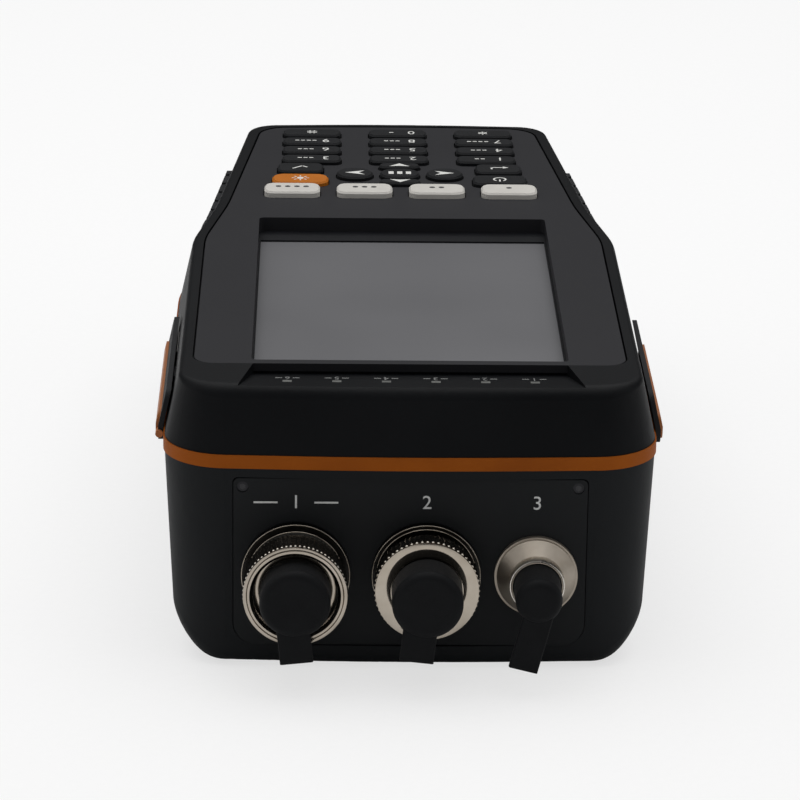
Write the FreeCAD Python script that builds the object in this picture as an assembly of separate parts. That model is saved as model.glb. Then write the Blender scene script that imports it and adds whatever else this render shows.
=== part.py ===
import FreeCAD, Part
import math
import os
from FreeCAD import Vector

# Handheld optical time domain reflectometer, lying on its back with the display up.
# Millimetres. +X is right as seen from the ports, +Y runs from the ports to the tail, +Z is up.
# The origin is the centre of the bounding box, on the plane that the feet rest on.
# A place given as "from the front" is measured from the foremost line of the case.

# Case: plan at the level of the orange band
case_length = 224.0
head_half = 53.9            # half width of the head
waist_half = 49.0           # half width where the handle begins
tail_half = 41.8            # half width where the sides would meet the tail
shoulder_from_tail = 108.0
waist_from_tail = 79.0
crown_drop = 2.4            # the front bows by this much between its middle and its corners
tail_drop = 2.0
crown_radius = 600.0
tail_crown_radius = 400.0
corner_radius = 14.0
tail_radius = 11.0
shoulder_radius = 60.0
waist_radius = 160.0

# Case: heights and draft
foot_proud = 0.8
lower_height = 45.8
band_height = 3.0
upper_height = 14.9
top_side_in = 3.3           # how far the upper walls lean in, from the band to the top face
top_front_in = 2.2
top_tail_in = 1.0
base_side_in = 2.3          # how far the lower walls lean in, from the band to the base
base_front_in = 0.6
base_tail_in = 4.0
wall = 2.5
floor_thickness = 3.2
ceiling_depth = 5.4         # from the top face to the upper case's ceiling
top_edge_radius = 1.3
ridge_radius = 3.0          # the front edge of the top face is rounder than its sides
base_edge_radius = 12.0
base_front_radius = 2.5

# Orange band and the lip that centres the two halves
band_proud = 0.3
band_inner = 1.4
lip_clearance = 0.1
lip_rise = 2.0              # how far the lip reaches above the band

# Face plate
plate_near = 20.4           # front edge of the plate, from the front
plate_border = 3.0          # rim of the upper case left outside the plate
plate_gap = 0.4
plate_thickness = 1.8
plate_sunk = 0.15
plate_corner = 4.5
ledge = 2.5

# Display
window_half = 35.0
window_near = 23.0
window_from_tail = 90.0
window_corner = 1.2
window_depth = 4.0
skirt = 1.2
glass_thickness = 1.1
bezel_far = 8.0             # black border on the side of the keys
bezel_side = 0.45
bezel_thickness = 0.4
bezel_clearance = 0.1

# Lamp strip
pocket_near = 3.6
pocket_depth = 2.6
pocket_near_half = 38.0
pocket_far_half = 34.4
lamp_count = 6
lamp_pitch = 10.8
lamp_from_front = 11.0
lamp_width = 2.0
lamp_length = 1.2
lamp_proud = 0.12
lamp_fit = 0.05

# Circuit board
board_drop = 8.2            # from the top face to the board's upper side
board_thickness = 1.6
board_head_half = 41.5
board_grip_half = 26.5
board_near = 24.0
board_from_tail = 10.0
post_radius = 3.0
near_post = (39.3, 32.0)        # x, and the distance from the front
far_post = (39.3, 102.0)        # x, and the distance from the tail
tail_post = (11.2, 17.9)
board_screw_head = 2.0
board_screw_head_height = 1.4
board_screw_radius = 1.2
board_screw_length = 8.0

# Keys
key_clearance = 0.25
key_travel = 0.8
key_flange = 0.55
key_flange_thickness = 0.9
key_slack = 0.1
key_stem_radius = 1.7
key_edge = 0.45
contact_half = 2.0
contact_height = 0.4
contact_gap = 0.05
soft_key_proud = 1.5
key_proud = 1.1
soft_key_pitch = 18.1
soft_key_from_tail = 68.1
soft_key_size = (13.9, 8.6, 2.6)
row_two_from_tail = 58.1
row_three_from_tail = 47.7
light_key_size = (14.2, 8.4, 3.2)
off_key_size = (13.6, 8.0, 2.2)
ok_key_size = (11.6, 8.0, 2.2)
side_key_offset = 25.2
number_pitch_across = 22.4
number_pitch_along = 8.4
number_from_tail = 38.9
number_key_size = (15.0, 6.2, 1.9)
pad_from_tail = 52.6
menu_key_size = (10.0, 8.2, 3.8)
turn_key_size = (9.2, 9.2, 4.3)
turn_key_offset = 11.4
step_key_size = (10.4, 3.8, 1.7)
step_key_offset = 7.4

# Port panel
port_height = 22.3
panel_half = 38.5
panel_low = 5.6
panel_high = 44.3
panel_recess = 1.6
panel_thickness = 1.8
panel_gap = 0.2
panel_low_corner = 5.0
panel_high_corner = 1.2
panel_screw_inset = (2.0, 2.0)
panel_screw_head = 1.25
panel_screw_radius = 0.8
panel_screw_sunk = 0.35
panel_screw_length = 5.0
front_wall = 6.0            # the front wall reaches this far back from the front
shank_radius = 5.5
shank_clearance = 0.2

# First port: threaded neck with a knurled ring around an inner adapter
port_one_x = -24.9
port_two_x = 3.6
port_three_x = 27.6
flange_radius = 12.0
flange_thickness = 1.6
neck_radius = 10.35
neck_bore = 8.9
neck_length = 8.6
neck_groove = 0.35
neck_groove_count = 2
neck_groove_pitch = 1.0
neck_groove_start = 2.6
ring_radius = 11.4
ring_start = 5.4
ring_end = 13.9
ring_fit = 0.12
ring_lip_bore = 9.2
ring_lip_length = 2.6
ring_chamfer = 0.7
core_disc_radius = 8.75
core_disc_length = 5.4
barrel_radius = 4.0
barrel_bore = 1.27
barrel_end = 15.2
knurl_depth = 0.35
ring_knurls = 72
disc_knurls = 60

# Second port: knurled disc with a barrel
disc_neck_radius = 9.4
disc_neck_length = 3.2
disc_radius = 11.5
disc_start = 5.1
disc_end = 10.6
disc_barrel_end = 16.4
disc_fit = 0.12
spigot_radius = 6.0

# Third port: domed flange with a short barrel and an inner sleeve
dome_flange_radius = 9.1
dome_radius = 8.6
dome_start = 1.2
dome_top_radius = 5.9
dome_height = 3.4
dome_edge = 0.4
dome_barrel_end = 7.4
dome_bore = 5.4
dome_room_start = 0.4
sleeve_radius = 2.4
sleeve_end = 12.6

# Dust caps
cap_radius = 7.7
cap_start = 11.0
cap_end = 19.6
cap_bore_clearance = 0.3
cap_edge = 1.8
small_cap_radius = 5.1
small_cap_start = 4.8
small_cap_end = 17.1
cap_roof = 2.2
strap_thickness = 1.5
strap_edge = 0.4
strap_set_back = 0.7        # the strap's outer face lies this far behind the cap's end
first_strap = (7.2, -1.0, 13.5, -6.0)      # width, offset from the axis, reach below it, lean
second_strap = (7.4, -0.9, 13.3, 6.0)
third_strap = (6.4, 0.8, 16.2, 14.0)

# Rubber side covers
flap_near = 20.0
flap_far = 76.0
flap_low = 46.0
flap_high = 57.8
flap_corner = 2.5
flap_gap = 0.2
flap_thickness = 1.1
flap_hinge_gap = 0.35
anchor_height = 2.6
anchor_sunk = 0.9
anchor_fit = 0.05
stripe_low = 46.3
stripe_high = 52.5
stripe_thickness = 0.6
stripe_margin = 2.0
lug_radius = 0.85
lug_length = 2.6

# Sockets behind the side covers
socket_height = 53.6
socket_sunk = 0.6
socket_depth = 9.0
socket_fit = 0.1
power_socket_from_front = 36.0
power_socket_size = 7.2
power_bore = 2.9
power_pin = 1.0
host_socket_from_front = 58.0
host_socket_size = (14.0, 6.6)
host_opening = (12.4, 4.9)
host_tongue = (10.8, 1.7)
device_socket_from_front = 48.0
device_socket_size = (9.0, 4.2)
device_opening = (7.6, 2.8)
device_tongue = (5.0, 0.8)
socket_hole_depth = 8.0

# Handle grips
grip_near_from_tail = 87.0
grip_far_from_tail = 30.0
grip_low = 17.0
grip_high = 60.5
grip_thickness = 1.8
grip_corner = 5.0
rib_pitch = 8.0
rib_groove = 1.7
rib_groove_depth = 1.0

# Battery bay, battery and its door
bay_near = 90.0
bay_from_tail = 54.0
bay_half = 27.0
bay_wall = 1.6
bay_height = 20.0
door_margin_side = 3.0
door_margin_end = 8.0
door_thickness = 1.8
door_recess = 1.9
door_gap = 0.3
door_corner = 4.0
battery_clearance = 0.5
battery_height = 17.0
door_boss_radius = 3.4
door_boss_height = 7.0
door_screw_radius = 1.25
door_screw_head = 2.6
door_screw_head_height = 1.2
door_screw_length = 7.0
thread_room = 0.04

# Optics module on its pads
optics_half = 27.0
optics_near = 9.0
optics_far = 78.0
optics_height = 24.0
optics_edge = 2.0
pad_radius = 4.0
pad_height = 6.0
pad_inset = 6.0

# Case screws and feet
near_case_screw = (40.0, 20.0)      # x, and the distance from the front
far_case_screw = (33.0, 21.0)       # x, and the distance from the tail
case_post_radius = 4.3
case_boss_radius = 2.8
boss_rib = 1.8
case_screw_radius = 1.5
case_screw_head = 2.8
case_screw_head_height = 2.2
case_screw_seat = 34.0
case_screw_length = 20.0
case_bore_radius = 3.2
case_hole_clearance = 0.2
near_foot = (30.0, 27.0)
far_foot = (21.0, 34.0)
foot_radius = 5.0
foot_recess = 1.0
foot_fit = 0.1


def tail_place(place):
    """The (x, distance from the front) form of a place given as (x, distance from the tail)."""
    return place[0], case_length - place[1]


# Worked out from the sizes above
shoulder = case_length - shoulder_from_tail
waist = case_length - waist_from_tail
window_far = case_length - window_from_tail
board_far = case_length - board_from_tail
bay_far = case_length - bay_from_tail
grip_near = case_length - grip_near_from_tail
grip_far = case_length - grip_far_from_tail
board_post_places = [near_post, tail_place(far_post), tail_place(tail_post)]
case_screw_places = [near_case_screw, tail_place(far_case_screw)]
foot_places = [near_foot, tail_place(far_foot)]
cap_reach = cap_end - panel_recess
front_y = (cap_reach - case_length) / 2
base_z = foot_proud
band_z = base_z + lower_height
band_top = band_z + band_height
top_z = band_top + upper_height
ceiling_z = top_z - ceiling_depth
floor_z = base_z + floor_thickness
plate_top = top_z - plate_sunk
plate_bottom = plate_top - plate_thickness
glass_top = top_z - window_depth
glass_bottom = glass_top - glass_thickness
board_top = top_z - board_drop
board_bottom = board_top - board_thickness
through = 400.0             # longer than anything that it cuts
side_share = 0.98           # share of a side that the arcs at its ends may take up


def along(from_front):
    """Y of a place given from the front."""
    return front_y + from_front


panel_y = along(panel_recess)


def save(node, *solids):
    """Write one node's solids to its own STEP file."""
    shape = solids[0] if len(solids) == 1 else Part.makeCompound(list(solids))
    shape.exportStep("parts/" + node + ".step")


def mirrored(shape):
    """The same shape on the other side of the YZ plane."""
    return shape.mirror(Vector(0, 0, 0), Vector(1, 0, 0))


def turned(shape, origin, axis, degrees):
    copy = shape.copy()
    copy.rotate(origin, axis, degrees)
    return copy


def arc_reaches(points, radii):
    """How far each corner's arc reaches along its sides, two arcs sharing a side that is too short."""
    reaches = []
    for index, radius in enumerate(radii):
        back = points[index - 1] - points[index]
        ahead = points[(index + 1) % len(points)] - points[index]
        reaches.append(radius / math.tan(back.getAngle(ahead) / 2))
    for index in range(len(points)):
        following = (index + 1) % len(points)
        side = (points[following] - points[index]).Length * side_share
        total = reaches[index] + reaches[following]
        if total > side:
            reaches[index] *= side / total
            reaches[following] *= side / total
    return reaches


def rounded_wire(corners, height):
    """Closed wire through (x, y, radius) corners, each rounded by a tangent arc."""
    points = [Vector(x, y, height) for x, y, radius in corners]
    reaches = arc_reaches(points, [radius for x, y, radius in corners])
    edges = []
    ends = []
    for index, (here, reach) in enumerate(zip(points, reaches)):
        back = (points[index - 1] - here).normalize()
        ahead = (points[(index + 1) % len(points)] - here).normalize()
        half_angle = back.getAngle(ahead) / 2
        radius = reach * math.tan(half_angle)
        start = here + back * reach
        end = here + ahead * reach
        middle_way = (back + ahead).normalize()
        middle = here + middle_way * (radius / math.sin(half_angle) - radius)
        ends.append((start, middle, end))
    for index, (start, middle, end) in enumerate(ends):
        edges.append(Part.Arc(start, middle, end).toShape())
        following = ends[(index + 1) % len(ends)][0]
        edges.append(Part.LineSegment(end, following).toShape())
    return Part.Wire(edges)


def loft(low_wire, high_wire):
    return Part.makeLoft([low_wire, high_wire], True, True)


def rounded_block(width, length, radius, x, y, low, high):
    """Upright block with rounded corners, centred on x, y."""
    corners = [(x - width / 2, y - length / 2, radius), (x + width / 2, y - length / 2, radius),
               (x + width / 2, y + length / 2, radius), (x - width / 2, y + length / 2, radius)]
    face = Part.Face(rounded_wire(corners, low))
    return face.extrude(Vector(0, 0, high - low))


def block(x_low, x_high, y_low, y_high, z_low, z_high):
    return Part.makeBox(x_high - x_low, y_high - y_low, z_high - z_low, Vector(x_low, y_low, z_low))


def upright(radius, x, y, low, high):
    return Part.makeCylinder(radius, high - low, Vector(x, y, low))


def both_sides(places, make):
    """The shapes that make(x, y) gives at each place and at its mirror image."""
    shapes = []
    for x, from_front in places:
        for side in (-1, 1):
            shapes.append(make(side * x, along(from_front)))
    return shapes


def case_outline(height, side_in, front_in, tail_in):
    """Plan of the case, its sides, front and tail each moved in by their own amount."""
    half = [(head_half - side_in, along(crown_drop + front_in), max(corner_radius - side_in, 1.0)),
            (head_half - side_in, along(shoulder), shoulder_radius),
            (waist_half - side_in, along(waist), waist_radius),
            (tail_half - side_in, along(case_length - tail_drop - tail_in), max(tail_radius - side_in, 1.0))]
    left = [(-x, y, radius) for x, y, radius in reversed(half)]
    front = [(0, along(front_in), crown_radius)]
    tail = [(0, along(case_length - tail_in), tail_crown_radius)]
    return rounded_wire(front + half + tail + left, height)


def upper_draft(height):
    """Side, front and tail draft of the upper case at a height."""
    share = (height - band_top) / upper_height
    return top_side_in * share, top_front_in * share, top_tail_in * share


def lower_draft(height):
    share = (band_z - height) / lower_height
    return base_side_in * share, base_front_in * share, base_tail_in * share


def slab(draft, low, high, inset):
    """Case-shaped solid between two heights, moved in by an inset on every side."""
    wires = []
    for height in (low, high):
        side_in, front_in, tail_in = draft(height)
        wires.append(case_outline(height, side_in + inset, front_in + inset, tail_in + inset))
    return loft(wires[0], wires[1])


def straight_draft(height):
    return 0.0, 0.0, 0.0


def edge_radii(shape, height, plain_radius, front_radius):
    """Fillet list for the edges at one height: the front crown has its own radius, and the two
    corners beside it change from one radius to the other."""
    rows = []
    front_limit = along(crown_drop + top_front_in + base_front_in) + 0.01
    for number, edge in enumerate(shape.Edges, 1):
        box = edge.BoundBox
        if abs(box.ZMin - height) > 0.001 or abs(box.ZMax - height) > 0.001:
            continue
        if box.YMax < front_limit:
            rows.append((number, front_radius, front_radius))
        elif box.YMin < front_limit:
            first = edge.valueAt(edge.FirstParameter)
            last = edge.valueAt(edge.LastParameter)
            first_radius = front_radius if first.y < last.y else plain_radius
            last_radius = plain_radius if first.y < last.y else front_radius
            rows.append((number, first_radius, last_radius))
        else:
            rows.append((number, plain_radius, plain_radius))
    return rows


def filleted(shape, rows):
    """Round numbered edges, each with a first and a last radius."""
    document = FreeCAD.newDocument()
    base = document.addObject("Part::Feature", "base")
    base.Shape = shape
    fillet = document.addObject("Part::Fillet", "fillet")
    fillet.Base = base
    fillet.Edges = rows
    document.recompute()
    result = fillet.Shape.copy()
    FreeCAD.closeDocument(document.Name)
    return result


def upper_outside():
    body = slab(upper_draft, band_top, top_z, 0)
    return filleted(body, edge_radii(body, top_z, top_edge_radius, ridge_radius))


def lower_outside():
    body = slab(lower_draft, base_z, band_z, 0)
    return filleted(body, edge_radii(body, base_z, base_edge_radius, base_front_radius))


def plate_outline(height, inset):
    """Plan of the face plate: straight in front, and parallel to the case's edge elsewhere."""
    side_in = top_side_in + plate_border + inset
    tail_in = top_tail_in + plate_border + inset
    half = [(head_half - side_in, along(plate_near + inset), plate_corner - inset),
            (head_half - side_in, along(shoulder), shoulder_radius - inset),
            (waist_half - side_in, along(waist), waist_radius + inset),
            (tail_half - side_in, along(case_length - tail_drop - tail_in), tail_radius - top_side_in - inset)]
    left = [(-x, y, radius) for x, y, radius in reversed(half)]
    tail = [(0, along(case_length - tail_in), tail_crown_radius)]
    return rounded_wire(half + tail + left, height)


def plate_prism(inset, low, high):
    return Part.Face(plate_outline(low, inset)).extrude(Vector(0, 0, high - low))


def pocket_floor(from_front):
    """Height of the lamp strip's floor, which rises towards the front."""
    share = (from_front - pocket_near) / (plate_near - pocket_near)
    return top_z - pocket_depth * share


def lamp_pocket():
    far = plate_near + plate_gap
    wedge_corners = [Vector(-head_half, along(pocket_near), top_z), Vector(-head_half, along(far), top_z),
                     Vector(-head_half, along(far), pocket_floor(plate_near))]
    wedge = Part.Face(Part.makePolygon(wedge_corners + wedge_corners[:1]))
    wedge = wedge.extrude(Vector(2 * head_half, 0, 0))
    plan_corners = [Vector(-pocket_near_half, along(pocket_near), ceiling_z),
                    Vector(pocket_near_half, along(pocket_near), ceiling_z),
                    Vector(pocket_far_half, along(far), ceiling_z),
                    Vector(-pocket_far_half, along(far), ceiling_z)]
    plan = Part.Face(Part.makePolygon(plan_corners + plan_corners[:1]))
    return wedge.common(plan.extrude(Vector(0, 0, ceiling_depth)))


def lamps(room):
    """The six lamp windows, or with some room around them the holes that they stand in."""
    shapes = []
    y = along(lamp_from_front)
    high = pocket_floor(lamp_from_front) + lamp_proud + room
    for number in range(lamp_count):
        x = (number - (lamp_count - 1) / 2) * lamp_pitch
        shapes.append(block(x - lamp_width / 2 - room, x + lamp_width / 2 + room,
                            y - lamp_length / 2 - room, y + lamp_length / 2 + room,
                            ceiling_z - room, high))
    return shapes


def upper_bosses():
    """Screw bosses, each tied to the side wall by a rib that passes above the lower case's lip."""
    lip_top = band_top + lip_rise + lip_clearance
    inside = slab(upper_draft, lip_top, ceiling_z, wall / 2)
    lip_space = slab(straight_draft, band_z, lip_top, wall + lip_clearance)
    space = lip_space.fuse(inside)

    def boss(x, y):
        low = band_z + lip_clearance
        reach = head_half if x > 0 else -head_half
        rib = block(min(x, reach), max(x, reach), y - boss_rib / 2, y + boss_rib / 2, lip_top, ceiling_z)
        return upright(case_boss_radius, x, y, low, ceiling_z).fuse(rib).common(space)
    return both_sides(case_screw_places, boss)


def make_upper_case(outside):
    cavity = slab(upper_draft, band_top, ceiling_z, wall)
    lip_room = slab(straight_draft, band_top, band_top + lip_rise + lip_clearance, band_inner - lip_clearance)
    recess = plate_prism(-plate_gap, plate_bottom, top_z + 1)
    opening = plate_prism(ledge, ceiling_z - 1, top_z + 1)
    skirt_room = window_block(skirt + plate_gap, ceiling_z - 1, top_z)
    key_rooms = [flange_block(x, from_front, size, key_flange + plate_gap, ceiling_z - 1, plate_bottom)
                 for name, x, from_front, size, proud in key_layout()]
    pilots = both_sides(case_screw_places,
                        lambda x, y: upright(case_screw_radius + thread_room, x, y, band_z,
                                             case_screw_seat + case_screw_length + thread_room))
    rooms = key_rooms + socket_rooms()
    shell = outside.cut([cavity, lip_room, recess, opening, skirt_room, lamp_pocket()] + rooms)
    return shell.cut(lamps(lamp_fit)).fuse(upper_bosses()).cut(pilots)


def make_band():
    outer = slab(straight_draft, band_z, band_top, -band_proud)
    inner = slab(straight_draft, band_z, band_top, band_inner)
    return outer.cut(inner)


def port_places():
    return (port_one_x, port_two_x, port_three_x)


def forward_cylinder(radius, x, start, end):
    """Cylinder along a port's axis, its ends given as distances in front of the panel's face."""
    return Part.makeCylinder(radius, end - start, Vector(x, panel_y - start, port_height), Vector(0, -1, 0))


def panel_block(grow, start, depth):
    """The port panel's shape, with its lower corners rounder than its upper ones."""
    low = panel_low - grow
    high = panel_high + grow
    half = panel_half + grow
    corners = [(-half, low, panel_low_corner), (half, low, panel_low_corner),
               (half, high, panel_high_corner), (-half, high, panel_high_corner)]
    face = Part.Face(rounded_wire(corners, 0))
    solid = face.extrude(Vector(0, 0, depth))
    solid.rotate(Vector(0, 0, 0), Vector(1, 0, 0), 90)
    solid.translate(Vector(0, start + depth, 0))
    return solid


def panel_screw_places():
    across, down = panel_screw_inset
    return [(side * (panel_half - across), panel_high - down) for side in (-1, 1)]


def along_y(radius, x, z, start, end):
    return Part.makeCylinder(radius, end - start, Vector(x, start, z), Vector(0, 1, 0))


def make_port_panel():
    panel = panel_block(0, panel_y, panel_thickness)
    back = panel_y + panel_thickness
    cuts = [along_y(shank_radius + shank_clearance, x, port_height, panel_y - 1, back + 1)
            for x in port_places()]
    for x, z in panel_screw_places():
        cuts.append(along_y(panel_screw_head, x, z, panel_y - 1, panel_y + panel_thickness * 0.75))
        cuts.append(along_y(panel_screw_radius + thread_room, x, z, panel_y, back + 1))
    return panel.cut(cuts)


def make_panel_screws():
    screws = []
    for x, z in panel_screw_places():
        head_start = panel_y + panel_screw_sunk
        head_end = panel_y + panel_thickness * 0.75
        head = along_y(panel_screw_head - thread_room, x, z, head_start, head_end)
        screws.append(head.fuse(along_y(panel_screw_radius, x, z, head_start, head_start + panel_screw_length)))
    return screws


def wall_x(height):
    """Half width of the head's outer wall at a height."""
    if height <= band_z:
        return head_half - lower_draft(height)[0]
    if height >= band_top:
        return head_half - upper_draft(height)[0]
    return head_half


def side_profile(low, high, inner, outer):
    """Section of a piece that lies along the head's right wall, between two offsets from it."""
    levels = [low] + [level for level in (band_z, band_top) if low < level < high] + [high]
    near = [Vector(wall_x(level) + inner, 0, level) for level in levels]
    far = [Vector(wall_x(level) + outer, 0, level) for level in reversed(levels)]
    return near + far


def side_piece(low, high, inner, outer, near, far, corner):
    """Right-hand piece along the head's wall, with rounded corners as seen from the side."""
    points = side_profile(low, high, inner, outer)
    face = Part.Face(Part.makePolygon(points + points[:1]))
    face.translate(Vector(0, along(near), 0))
    solid = face.extrude(Vector(0, far - near, 0))
    corners = [(along(near), low, corner), (along(far), low, corner),
               (along(far), high, corner), (along(near), high, corner)]
    mask = Part.Face(rounded_wire(corners, 0)).extrude(Vector(0, 0, through))
    mask.rotate(Vector(0, 0, 0), Vector(1, 1, 1), 120)
    return solid.common(mask)


def socket_shell(from_front, size, opening, tongue):
    """Right-hand connector body: a box with an opening in its outer end and a tongue inside."""
    outer_x = wall_x(socket_height) - socket_sunk
    inner_x = outer_x - socket_depth
    y = along(from_front)
    body = block(inner_x, outer_x, y - size[0] / 2, y + size[0] / 2,
                 socket_height - size[1] / 2, socket_height + size[1] / 2)
    hole = block(outer_x - socket_hole_depth, outer_x + 1, y - opening[0] / 2, y + opening[0] / 2,
                 socket_height - opening[1] / 2, socket_height + opening[1] / 2)
    blade = block(inner_x, outer_x - socket_sunk, y - tongue[0] / 2, y + tongue[0] / 2,
                  socket_height - tongue[1] / 2, socket_height + tongue[1] / 2)
    return body.cut(hole).fuse(blade).removeSplitter()


def socket_room(from_front, size):
    y = along(from_front)
    return block(wall_x(socket_height) - socket_depth - 1, head_half + 1,
                 y - size[0] / 2 - socket_fit, y + size[0] / 2 + socket_fit,
                 socket_height - size[1] / 2 - socket_fit, socket_height + size[1] / 2 + socket_fit)


def socket_rooms():
    """Openings through the case wall for the two sockets on the left and the one on the right."""
    return [socket_room(device_socket_from_front, device_socket_size),
            mirrored(socket_room(power_socket_from_front, (power_socket_size, power_socket_size))),
            mirrored(socket_room(host_socket_from_front, host_socket_size))]


def make_power_socket():
    outer_x = wall_x(socket_height) - socket_sunk
    start = Vector(outer_x - socket_hole_depth, along(power_socket_from_front), socket_height)
    bore = Part.makeCylinder(power_bore, socket_hole_depth + 1, start, Vector(1, 0, 0))
    pin = Part.makeCylinder(power_pin, socket_hole_depth - socket_sunk, start, Vector(1, 0, 0))
    body = block(outer_x - socket_depth, outer_x, start.y - power_socket_size / 2,
                 start.y + power_socket_size / 2, socket_height - power_socket_size / 2,
                 socket_height + power_socket_size / 2)
    return body.cut(bore).fuse(pin)


def make_lower_case(outside):
    cavity = slab(lower_draft, floor_z, band_z, wall)
    rows = edge_radii(cavity, floor_z, base_edge_radius - wall, base_edge_radius - wall)
    cavity = filleted(cavity, rows)
    front_room = block(-through, through, along(-through), along(front_wall), 0, band_z)
    cavity = cavity.cut(front_room)
    lip = slab(straight_draft, band_z - wall, band_top + lip_rise, band_inner)
    lip = lip.cut(slab(straight_draft, band_z - wall, band_top + lip_rise, wall))
    shell = outside.cut(cavity).fuse(lip)

    inside = slab(lower_draft, base_z + floor_thickness / 2, band_z, wall / 2)
    posts = both_sides(board_post_places,
                       lambda x, y: upright(post_radius, x, y, floor_z - 1, board_bottom))
    screw_posts = both_sides(case_screw_places,
                             lambda x, y: upright(case_post_radius, x, y, floor_z - 1, band_z).common(inside))
    pads = both_sides(optics_pad_places(), lambda x, y: upright(pad_radius, x, y, floor_z - 1,
                                                                floor_z + pad_height))
    shell = shell.fuse(posts + screw_posts + pads + [bay_walls()] + door_bosses())
    shell = shell.cut(panel_block(panel_gap, along(-5), panel_recess + panel_thickness + 5))
    return shell.cut(lower_cuts())


def lower_cuts():
    """Everything that is cut from the lower case after its walls, posts and pads are joined."""
    screw_top = board_top - board_screw_length - thread_room
    cuts = both_sides(board_post_places,
                      lambda x, y: upright(board_screw_radius + thread_room, x, y, screw_top, board_top))
    cuts += both_sides(case_screw_places, lambda x, y: upright(case_bore_radius, x, y, 0, case_screw_seat))
    cuts += both_sides(case_screw_places,
                       lambda x, y: upright(case_screw_radius + case_hole_clearance, x, y, 0, band_top))
    cuts += both_sides(foot_places,
                       lambda x, y: upright(foot_radius + foot_fit, x, y, 0, base_z + foot_recess))
    cuts += [along_y(shank_radius + 2 * shank_clearance, x, port_height, along(0), along(front_wall + 1))
             for x in port_places()]
    cuts += [along_y(panel_screw_radius + thread_room, x, z, panel_y, along(front_wall + 1))
             for x, z in panel_screw_places()]
    anchor_room = anchor_piece(anchor_fit)
    cuts += socket_rooms() + [anchor_room, mirrored(anchor_room)]
    cuts += [bay_block(0, 0, base_z - 1, floor_z + bay_height + 1),
             door_block(door_gap, base_z - 1, base_z + door_recess)]
    cuts += [upright(door_screw_radius + thread_room, 0, y, base_z, floor_z + door_boss_height + 1)
             for y in door_screw_rows()]
    return cuts


def bay_block(side, end, low, high):
    return block(-bay_half - side, bay_half + side, along(bay_near - end), along(bay_far + end), low, high)


def bay_walls():
    outer = bay_block(bay_wall, bay_wall, floor_z - 1, floor_z + bay_height)
    return outer.cut(bay_block(0, 0, floor_z - 2, floor_z + bay_height + 1))


def door_block(grow, low, high):
    width = 2 * (bay_half + door_margin_side + grow)
    length = bay_far - bay_near + 2 * (door_margin_end + grow)
    return rounded_block(width, length, door_corner, 0, along((bay_near + bay_far) / 2), low, high)


def door_screw_rows():
    return (along(bay_near - door_margin_end / 2), along(bay_far + door_margin_end / 2))


def door_bosses():
    return [upright(door_boss_radius, 0, y, floor_z - 1, floor_z + door_boss_height)
            for y in door_screw_rows()]


def make_battery_door():
    door = door_block(0, base_z + door_recess - door_thickness, base_z + door_recess)
    holes = []
    for y in door_screw_rows():
        holes.append(upright(door_screw_radius + case_hole_clearance, 0, y, 0, base_z + door_recess + 1))
        holes.append(upright(door_screw_head + case_hole_clearance, 0, y, 0, door_screw_seat()))
    return door.cut(holes)


def door_screw_seat():
    return base_z + door_recess - door_thickness + door_screw_head_height


def pan_screw(radius, head_radius, head_height, length, x, y, seat, upward):
    """Screw along Z with its head on a seat, the shank going up or down from it."""
    way = 1 if upward else -1
    head_low = seat - head_height if upward else seat
    shank_low = seat - head_height / 2 if upward else seat - length
    shank_high = seat + length if upward else seat + head_height / 2
    head = upright(head_radius, x, y, head_low, head_low + head_height)
    drive = upright(head_radius * 0.45, x, y, head_low - way * head_height / 2,
                    head_low - way * head_height / 2 + head_height)
    return head.cut(drive).fuse(upright(radius, x, y, shank_low, shank_high))


def make_door_screws():
    return [pan_screw(door_screw_radius, door_screw_head, door_screw_head_height, door_screw_length,
                      0, y, door_screw_seat(), True) for y in door_screw_rows()]


def make_case_screws():
    return both_sides(case_screw_places,
                      lambda x, y: pan_screw(case_screw_radius, case_screw_head, case_screw_head_height,
                                             case_screw_length, x, y, case_screw_seat, True))


def make_board_screws():
    return both_sides(board_post_places,
                      lambda x, y: pan_screw(board_screw_radius, board_screw_head, board_screw_head_height,
                                             board_screw_length, x, y, board_top, False))


def make_battery():
    low = base_z + door_recess
    width = 2 * (bay_half - battery_clearance)
    length = bay_far - bay_near - 2 * battery_clearance
    return rounded_block(width, length, door_corner / 2, 0, along((bay_near + bay_far) / 2),
                         low, low + battery_height)


def optics_pad_places():
    return [(optics_half - pad_inset, optics_near + pad_inset), (optics_half - pad_inset, optics_far - pad_inset)]


def make_optics_module():
    length = optics_far - optics_near
    low = floor_z + pad_height
    return rounded_block(2 * optics_half, length, optics_edge, 0, along((optics_near + optics_far) / 2),
                         low, low + optics_height)


def make_feet():
    def foot(x, y):
        pad = upright(foot_radius, x, y, 0, base_z + foot_recess)
        low_edge = [edge for edge in pad.Edges if edge.BoundBox.ZMax < 0.001]
        return pad.makeChamfer(foot_proud / 2, low_edge)
    return both_sides(foot_places, foot)


def make_board():
    head = block(-board_head_half, board_head_half, along(board_near), along(window_far), board_bottom, board_top)
    grip = block(-board_grip_half, board_grip_half, along(window_far), along(board_far), board_bottom, board_top)
    holes = both_sides(board_post_places, lambda x, y: upright(board_screw_radius + case_hole_clearance, x, y,
                                                              board_bottom - 1, board_top + 1))
    pads = [block(x - contact_half, x + contact_half, along(from_front) - size[1] / 4,
                  along(from_front) + size[1] / 4, board_top, board_top + contact_height)
            for name, x, from_front, size, proud in key_layout()]
    return head.fuse(grip).removeSplitter().cut(holes).fuse(pads)


def window_block(grow, low, high, near=window_near, far=window_far):
    length = far - near + 2 * grow
    return rounded_block(2 * (window_half + grow), length, window_corner + max(grow, 0), 0,
                         along((near + far) / 2), low, high)


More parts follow.
